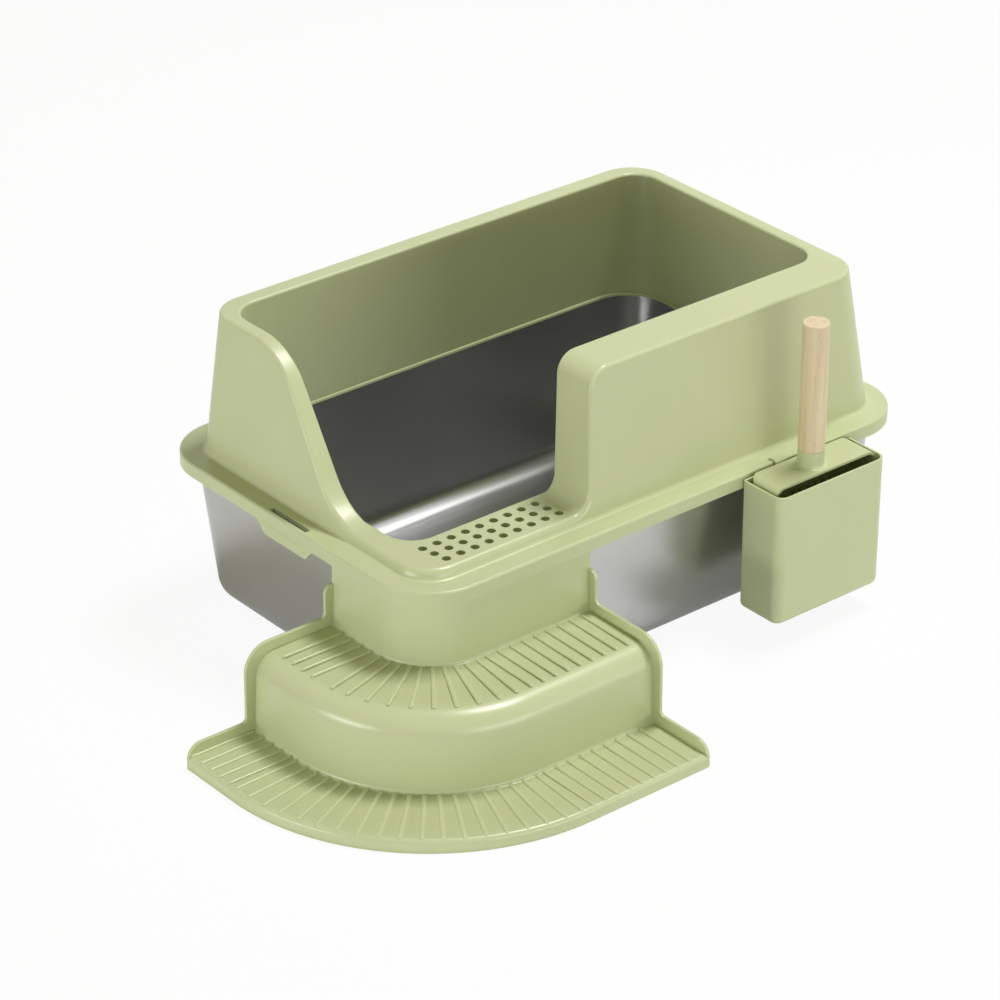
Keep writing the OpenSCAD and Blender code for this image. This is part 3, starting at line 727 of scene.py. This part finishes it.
def run_tree(name, tree, values, points=(), edges=()):
    """Runs a tree on a mesh of points and edges, and keeps the result as a plain mesh."""
    mesh = bpy.data.meshes.new(name)
    mesh.from_pydata([(x * MM, y * MM, z * MM) for x, y, z in points], list(edges), [])
    piece = bpy.data.objects.new(name, mesh)
    bpy.context.scene.collection.objects.link(piece)
    maker = piece.modifiers.new("maker", "NODES")
    maker.node_group = tree
    for item in tree.interface.items_tree:
        if item.in_out == "INPUT" and item.name in values:
            maker[item.identifier] = values[item.name]
    return plain_mesh(piece)


hole_columns, hole_rows = 9, 3
hole_pitch, row_pitch, row_step = 0.0165, 0.0137, 0.00275
hole_across, cutter_length = 0.0086, 0.02
hole_tree, start, end = new_tree("drain_hole_cutters", [
    ("Columns", "NodeSocketInt", hole_columns), ("Rows", "NodeSocketInt", hole_rows),
    ("Pitch", "NodeSocketFloat", hole_pitch), ("Row pitch", "NodeSocketFloat", row_pitch),
    ("Row step", "NodeSocketFloat", row_step), ("Diameter", "NodeSocketFloat", hole_across),
    ("Middle hole", "NodeSocketVector", (0, 0, 0)), ("Material", "NodeSocketMaterial", None)])
grid = hole_tree.nodes.new("GeometryNodeMeshGrid")
hole_tree.links.new(start.outputs["Columns"], grid.inputs["Vertices X"])
hole_tree.links.new(start.outputs["Rows"], grid.inputs["Vertices Y"])
last_column = math_node(hole_tree, "SUBTRACT", start.outputs["Columns"], 1.0)
last_row = math_node(hole_tree, "SUBTRACT", start.outputs["Rows"], 1.0)
across = math_node(hole_tree, "MULTIPLY", last_column, start.outputs["Pitch"])
deep = math_node(hole_tree, "MULTIPLY", last_row, start.outputs["Row pitch"])
hole_tree.links.new(across, grid.inputs["Size X"])
hole_tree.links.new(deep, grid.inputs["Size Y"])
where = hole_tree.nodes.new("GeometryNodeInputPosition")
parts = hole_tree.nodes.new("ShaderNodeSeparateXYZ")
hole_tree.links.new(where.outputs[0], parts.inputs[0])
shear = math_node(hole_tree, "DIVIDE", start.outputs["Row step"], start.outputs["Row pitch"])
step = math_node(hole_tree, "MULTIPLY", parts.outputs["Y"], shear)
sideways = math_node(hole_tree, "MULTIPLY", step, -1.0)
offset = hole_tree.nodes.new("ShaderNodeCombineXYZ")
hole_tree.links.new(sideways, offset.inputs["X"])
shift = hole_tree.nodes.new("GeometryNodeSetPosition")
hole_tree.links.new(grid.outputs["Mesh"], shift.inputs["Geometry"])
hole_tree.links.new(offset.outputs[0], shift.inputs["Offset"])
move = hole_tree.nodes.new("GeometryNodeTransform")
hole_tree.links.new(shift.outputs[0], move.inputs["Geometry"])
hole_tree.links.new(start.outputs["Middle hole"], move.inputs["Translation"])
cutter = hole_tree.nodes.new("GeometryNodeMeshCylinder")
cutter.inputs["Vertices"].default_value = 28
cutter.inputs["Depth"].default_value = cutter_length
radius = math_node(hole_tree, "MULTIPLY", start.outputs["Diameter"], 0.5)
hole_tree.links.new(radius, cutter.inputs["Radius"])
spread = hole_tree.nodes.new("GeometryNodeInstanceOnPoints")
hole_tree.links.new(move.outputs[0], spread.inputs["Points"])
hole_tree.links.new(cutter.outputs["Mesh"], spread.inputs["Instance"])
close_tree(hole_tree, spread.outputs["Instances"], start, end)

first_x, first_y = left + 56.7, front + 66.7
middle_x = first_x * MM + (hole_columns - 1) / 2 * hole_pitch + row_step
middle_y = first_y * MM - row_pitch
cutters = run_tree("hole_cutters", hole_tree, {
    "Middle hole": (middle_x, middle_y, threshold_z * MM), "Material": green_plastic})
wall = cut(wall, [cutters])
print("after drilling, the wall has", len(wall.data.polygons), "faces")

# %% [markdown]
# Below the wall, a flat flange runs out to a skirt that hangs over the pan's rim. On the
# left and on the right a tab hangs from the skirt, and its catch grips the pan's rim. The
# flange has a slot above each tab, so that the tab can be bent outwards, and one for the
# hook of the scoop's holder. A lip hangs from the foot of the opening into the pan, so
# that litter falls back inside.

# %% Flange, lip and tabs
soft_edge = 0.4
flange_inner = -26.0
flange = swept("flange", skirt_box, skirt_radii, (
    [(-skin, skirt_z + soft_edge), (soft_edge - skin, skirt_z), (-soft_edge, skirt_z),
     (0, skirt_z + soft_edge)]
    + arc(-skin, flange_z - skin, skin, 0, 90, 6)
    + [(flange_inner, flange_z), (flange_inner, under_flange), (-skin, under_flange)]), green_plastic)
tab_middle = front + 200
slot_half = 28.0
slot_inset, slot_half_width = 6.55, 2.75
hook_left, hook_width = left + 385 + 41, 96.5


def slot_cutter(x0, x1, y0, y1):
    return block("slot", (x0, y0, 160), (x1, y1, 172), green_plastic)


slots = [slot_cutter(x - slot_half_width, x + slot_half_width,
                     tab_middle - slot_half, tab_middle + slot_half)
         for x in (left + slot_inset, right - slot_inset)]
slots.append(slot_cutter(hook_left - 1, hook_left + hook_width + 1, front + 4.2, front + 8))
flange = cut(flange, slots)

lip_drop, lip_shelf, lip_round = 3, 5.2, 1.5
lip_top = threshold_z - 0.02
lip = swept("lip", lip_box, lip_radii, (
    [(0, threshold_z - lip_drop), (skin, threshold_z - lip_drop), (skin, threshold_z - skin),
     (lip_shelf, threshold_z - skin), (lip_shelf, lip_top)]
    + arc(lip_round, lip_top - lip_round, lip_round, 90, 180, 5)), green_plastic)


def tab_outline():
    """Straight foot with an S at each end, as (place along the skirt, height)."""
    drop, run, foot_half = 11.5, 19.0, 27
    r = (run * run + drop * drop) / (4 * drop)
    sweep = math.degrees(math.asin(run / 2 / r))
    foot, reach = skirt_z - drop, foot_half + run
    right_half = (arc(foot_half, foot + r, r, 270, 270 + sweep, 6)
                  + arc(reach, skirt_z - r, r, 90 + sweep, 90, 6))
    left_half = [(-u, v) for u, v in right_half[::-1]]
    return [(-reach, skirt_z + 1)] + left_half + right_half + [(reach, skirt_z + 1)]


def tab(side):
    """The leaf that hangs from the skirt, and the catch on its inner face."""
    edge = left if side < 0 else right
    near, reach, top = 2.0, 8.4, skirt_z + 5
    catch_line = [(near, skirt_z - 1), (reach, top - 1), (reach, top), (near, top)]
    leaf = plate(
        "tab", tab_outline(), lambda u, v, s: (edge - side * skin * s, tab_middle + u, v), green_plastic)
    catch = plate(
        "catch", catch_line,
        lambda u, v, s: (edge - side * u, tab_middle + slot_half * (2 * s - 1), v), green_plastic)
    return [bevelled(leaf, soft_edge, 2), catch]


enclosure_shell = joined("enclosure_shell", [wall, flange, lip] + tab(-1) + tab(1))
even_shading(enclosure_shell)
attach(enclosure_shell, "enclosure")
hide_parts("enclosure")
print("enclosure_shell has", len(enclosure_shell.data.polygons), "faces")

# %% [markdown]
# The stair is one thin shell that wraps round the entrance corner: a low step, a riser,
# an upper step with a round nose, and a tall riser that goes up under the skirt. One
# profile is drawn along the left side, round the corner and along the front. A wall closes
# each end and stands a little above the steps.

# %% Steps of the stair
stair_cx, stair_cy, stair_r = left + 62, front + 62, 62.0
stair_left, stair_front = 132.5, 202.0
upper_z, lower_z = 90.0, 13.0
lower_riser, stair_out, nose_r, tip_r = 89.0, 164.5, 22.0, 4.5
upper_foot_r, lower_foot_r = 3, 4
stair_t, side_t = 2.5, 3.5


def stair_line(t):
    """From the tall riser's top down to the outer edge, moved t into the shell."""
    return ([(-3 - t, skirt_z - 1)]
            + arc(2.5, upper_z + upper_foot_r, upper_foot_r + t, 180, 270, 8)
            + arc(lower_riser - 1 - nose_r, upper_z - 1 - nose_r, nose_r - t, 90, 0, 14)
            + arc(lower_riser + 5, lower_z + lower_foot_r, lower_foot_r + t, 180, 270, 8)
            + arc(stair_out - tip_r, lower_z - tip_r, tip_r - t, 90, 0, 10)
            + [(stair_out - t, 0)])


def stair_path(steps=28):
    """Points on the riser's line with the way outwards: down the left side, then to the right."""
    path = [(stair_cx - stair_r, front + stair_left - 1, -1.0, 0.0)]
    for i in range(steps + 1):
        a = math.radians(180 + 90 * i / steps)
        path.append((stair_cx + stair_r * math.cos(a), stair_cy + stair_r * math.sin(a),
                     math.cos(a), math.sin(a)))
    path.append((left + stair_front - 1, stair_cy - stair_r, 0.0, -1.0))
    return path


profile = stair_line(0) + stair_line(stair_t)[::-1]
steps_shell = skin_over("steps", [
    [(x + out * nx, y + out * ny, z) for out, z in profile] for x, y, nx, ny in stair_path()],
    green_plastic, closed=False)


def end_line():
    """Outline of an end wall, with its lip above the steps."""
    back_u, top_r, inner_r, tip_round = -5.5, 9, 5, 15
    upper_lip, lower_lip, r = upper_z + 10.5, lower_z + 11.5, nose_r + 5
    end_u = stair_out - 0.2
    return ([(back_u, 0), (back_u, upper_z + 43)]
            + arc(-1.5, upper_z + 43 - top_r, top_r, 90, 0, 8)
            + arc(12.5, upper_lip + inner_r, inner_r, 180, 270, 6)
            + arc(lower_riser + 9.5 - r, upper_lip - r, r, 90, 0, 14)
            + arc(lower_riser + 15, lower_lip + inner_r, inner_r, 180, 270, 6)
            + arc(end_u - tip_round, lower_lip - tip_round, tip_round, 90, 0, 10)
            + [(end_u, 0)])


end_left = plate("end_left", end_line(),
                 lambda u, v, s: (left - u, front + stair_left - side_t * s, v), green_plastic)
end_front = plate("end_front", end_line(),
                  lambda u, v, s: (left + stair_front - side_t * s, front - u, v), green_plastic)
end_walls = [bevelled(piece, 0.7) for piece in (end_left, end_front)]
corner_steps = joined("corner_steps", [steps_shell] + end_walls)
even_shading(corner_steps)
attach(corner_steps, "stair")
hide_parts("corner_stair")
print("corner_steps has", len(corner_steps.data.polygons), "faces")

# %% [markdown]
# Raised ribs on both treads clean the litter off the paws. They stand side by side along
# both straight parts and fan out round the corner. Geometry Nodes make them: a line that
# runs halfway across the tread gets as many points as there are ribs, and on each point
# stands one rib, turned so that it lies across the line. A rib is the convex hull of two
# small balls, which gives it round ends. Less than half of each rib stands above the tread.

# %% Tread ribs by Geometry Nodes
rib_tree, start, end = new_tree("tread_ribs", [
    ("Count", "NodeSocketInt", 10), ("Length", "NodeSocketFloat", 0.06),
    ("Width", "NodeSocketFloat", 0.0025), ("Material", "NodeSocketMaterial", None)])
to_curve = rib_tree.nodes.new("GeometryNodeMeshToCurve")
rib_tree.links.new(start.outputs["Geometry"], to_curve.inputs["Mesh"])
even = rib_tree.nodes.new("GeometryNodeResampleCurve")
even.mode = "COUNT"
rib_tree.links.new(to_curve.outputs["Curve"], even.inputs["Curve"])
rib_tree.links.new(start.outputs["Count"], even.inputs["Count"])
ball = rib_tree.nodes.new("GeometryNodeMeshUVSphere")
ball.inputs["Segments"].default_value = 16
ball.inputs["Rings"].default_value = 10
rib_tree.links.new(math_node(rib_tree, "MULTIPLY", start.outputs["Width"], 0.5), ball.inputs["Radius"])
half = math_node(rib_tree, "MULTIPLY", start.outputs["Length"], 0.5)
both = rib_tree.nodes.new("GeometryNodeJoinGeometry")
for sign in (-1.0, 1.0):
    place = rib_tree.nodes.new("ShaderNodeCombineXYZ")
    rib_tree.links.new(math_node(rib_tree, "MULTIPLY", half, sign), place.inputs["X"])
    move = rib_tree.nodes.new("GeometryNodeTransform")
    rib_tree.links.new(ball.outputs["Mesh"], move.inputs["Geometry"])
    rib_tree.links.new(place.outputs[0], move.inputs["Translation"])
    rib_tree.links.new(move.outputs[0], both.inputs[0])
hull = rib_tree.nodes.new("GeometryNodeConvexHull")
rib_tree.links.new(both.outputs[0], hull.inputs[0])
smooth = rib_tree.nodes.new("GeometryNodeSetShadeSmooth")
rib_tree.links.new(hull.outputs[0], smooth.inputs["Geometry"])
tangent = rib_tree.nodes.new("GeometryNodeInputTangent")
turn = rib_tree.nodes.new("FunctionNodeAlignEulerToVector")
turn.axis = "Y"
turn.pivot_axis = "Z"
rib_tree.links.new(tangent.outputs[0], turn.inputs["Vector"])
stand = rib_tree.nodes.new("GeometryNodeInstanceOnPoints")
rib_tree.links.new(even.outputs["Curve"], stand.inputs["Points"])
rib_tree.links.new(smooth.outputs[0], stand.inputs["Instance"])
rib_tree.links.new(turn.outputs[0], stand.inputs["Rotation"])
close_tree(rib_tree, stand.outputs["Instances"], start, end)


def rib_row(inner, outer, tread, line, count, width=4.0, rise=1.8):
    """Ribs across a line of (x, y, way outwards in x, in y), from inner to outer."""
    middle = (inner + outer) / 2
    z = tread + rise - width / 2
    points = [(x + middle * nx, y + middle * ny, z) for x, y, nx, ny in line]
    edges = [(i, i + 1) for i in range(len(points) - 1)]
    return run_tree("rib_row", rib_tree, {
        "Count": count, "Length": (outer - inner) * MM, "Width": width * MM,
        "Material": green_plastic}, points, edges)


def riser_arc(first, last, steps=96):
    found = []
    for i in range(steps + 1):
        a = math.radians(first + (last - first) * i / steps)
        found.append((stair_cx + stair_r * math.cos(a), stair_cy + stair_r * math.sin(a),
                      math.cos(a), math.sin(a)))
    return found


def along_left(first, count):
    y = stair_cy + first
    return [(left, y + (count - 1) * rib_pitch, -1.0, 0.0), (left, y, -1.0, 0.0)]


def along_front(first, count):
    x = stair_cx + first
    return [(x, front, 0.0, -1.0), (x + (count - 1) * rib_pitch, front, 0.0, -1.0)]


rib_pitch = 14.2
upper = (4, lower_riser - nose_r, upper_z)
lower = (lower_riser + 4, stair_out - tip_r, lower_z)
tread_ribs = joined("tread_ribs", [
    rib_row(*upper, along_left(7, 4), 4), rib_row(*upper, riser_arc(187.5, 268.5), 10),
    rib_row(*upper, along_front(11, 9), 9),
    rib_row(*lower, along_left(9.5, 5), 5), rib_row(*lower, riser_arc(180, 268.2), 19),
    rib_row(*lower, along_front(5, 9), 9)])
even_shading(tread_ribs, 50)
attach(tread_ribs, "stair")
print("tread_ribs has", len(tread_ribs.data.polygons), "faces")

# %% [markdown]
# The holder is a deep pocket with a soft foot, moulded with hardly any draft. A hook at
# its back goes over the flange. The pocket is a row of rings like the pan's, up the outside,
# over the mouth's rounded edge and down the inside, and the hook is a plate with a bent
# outline.

# %% Holder
holder_back = front - 1
holder_top, holder_h, draft = 162.5, 138, 0.3
holder_floor = holder_top - holder_h
holder_box = (left + 385, left + 522.5, holder_back - 53, holder_back)
holder_t, holder_foot_r, holder_front_r, holder_back_r = 2.5, 8, 11, 4


def holder_ring(z, d):
    lean = draft * (holder_top - z) / holder_h
    box = (holder_box[0] + lean + d, holder_box[1] - lean - d, holder_box[2] + lean + d, holder_box[3] - d)
    radii = [holder_front_r - d] * 2 + [max(holder_back_r - d, 1)] * 2
    return ring(box, radii, z, 12)


def holder_foot(t, steps=8):
    r = holder_foot_r - t
    return [holder_ring(holder_floor + t + r * (1 - math.cos(a)), t + r * (1 - math.sin(a)))
            for a in quarter_turn(steps)]


t = holder_t
mouth_edge = [(0.8, 0), (0.25, 0.2), (0, 0.8)]
mouth = [holder_ring(holder_top - drop, d) for drop, d in mouth_edge]
mouth += [holder_ring(holder_top - drop, t - d) for drop, d in mouth_edge[::-1]]
pocket = skin_over("pocket", holder_foot(0) + mouth + holder_foot(t)[::-1], green_plastic, closed=False)
hook_r, hook_in, hook_foot = 2, front + 5, holder_top - 12
hook_end, hook_under = under_flange + 0.3, flange_z + 0.02
hook_line = (
    [(holder_back - t + 0.5, hook_foot)]
    + arc(holder_back - t + hook_r, flange_z + t - hook_r, hook_r, 180, 90, 6)
    + arc(hook_in + t - hook_r, flange_z + t - hook_r, hook_r, 90, 0, 6)
    + [(hook_in + t, hook_end), (hook_in, hook_end), (hook_in, hook_under), (holder_back, hook_under),
       (holder_back, hook_foot)])
hook = plate("hook", hook_line, lambda u, v, s: (hook_left + hook_width * s, u, v), green_plastic)
holder_shell = joined("holder_shell", [pocket, bevelled(hook, 0.3, 2)])
even_shading(holder_shell)
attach(holder_shell, "holder")
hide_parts("scoop_holder")
print("holder_shell has", len(holder_shell.data.polygons), "faces")

# %% [markdown]
# The scoop stands in the holder mouth down: a tray with slots, a plate across its top, and
# a collar for the handle. The scoop's solid has all its edges sharp, so its mesh is merged,
# its flat faces are made whole again, and a fine bevel rounds each edge as a mould does.

# %% Scoop
def softened(name, node, material, width, segments=2):
    """A copy of a solid's mesh with whole flat faces and rounded edges."""
    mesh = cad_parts[node].data.copy()
    piece = bpy.data.objects.new(name, mesh)
    bpy.context.scene.collection.objects.link(piece)
    bm = bmesh.new()
    bm.from_mesh(mesh)
    bmesh.ops.transform(bm, matrix=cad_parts[node].matrix_world, verts=bm.verts)
    bmesh.ops.remove_doubles(bm, verts=bm.verts, dist=1e-6)
    bmesh.ops.dissolve_limit(bm, angle_limit=math.radians(1.0), verts=bm.verts, edges=bm.edges)
    bm.to_mesh(mesh)
    bm.free()
    mesh.materials.clear()
    mesh.materials.append(material)
    return bevelled(piece, width, segments, 32)


scoop_shell = softened("scoop_shell", "scoop_head", green_plastic, 0.6)
even_shading(scoop_shell)
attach(scoop_shell, "scoop")
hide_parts("scoop_head")
print("scoop_shell has", len(scoop_shell.data.polygons), "faces")

# %% [markdown]
# The handle is turned on a lathe: a plain dowel with a small round at its top and a peg
# that goes down into the collar. A profile spun round its axis is all it needs. The pilot
# hole for the screw goes up from the peg's foot.

# %% Handle and screw
handle_x, handle_y, plate_z = left + 451, front - 23.5, flange_z
collar_h, handle_len, handle_r = 17.0, 131.6, 13.0
peg_r, chamfer, top_round = handle_r - 1.6, 0.4, 1.8
pilot_r, pilot_depth = 2.0, 30.0
handle_top = collar_h + handle_len
line = ([(pilot_r, 0.0), (peg_r, 0.0), (peg_r, collar_h), (handle_r - chamfer, collar_h),
         (handle_r, collar_h + chamfer)]
        + arc(handle_r - top_round, handle_top - top_round, top_round, 0, 90, 6)
        + [(0.0, handle_top), (0.0, pilot_depth), (pilot_r, pilot_depth)])
turns = 64
sections = []
for i in range(turns):
    a = 2 * math.pi * i / turns
    sections.append([(handle_x + r * math.cos(a), handle_y + r * math.sin(a), plate_z + z)
                     for r, z in line])
dowel_handle = skin_over("dowel_handle", sections, beech, closed=True)
even_shading(dowel_handle)
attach(dowel_handle, "scoop")
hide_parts("scoop_handle")

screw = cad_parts["handle_screw"]
screw.data.materials.clear()
screw.data.materials.append(zinc)
print("dowel_handle has", len(dowel_handle.data.polygons), "faces")
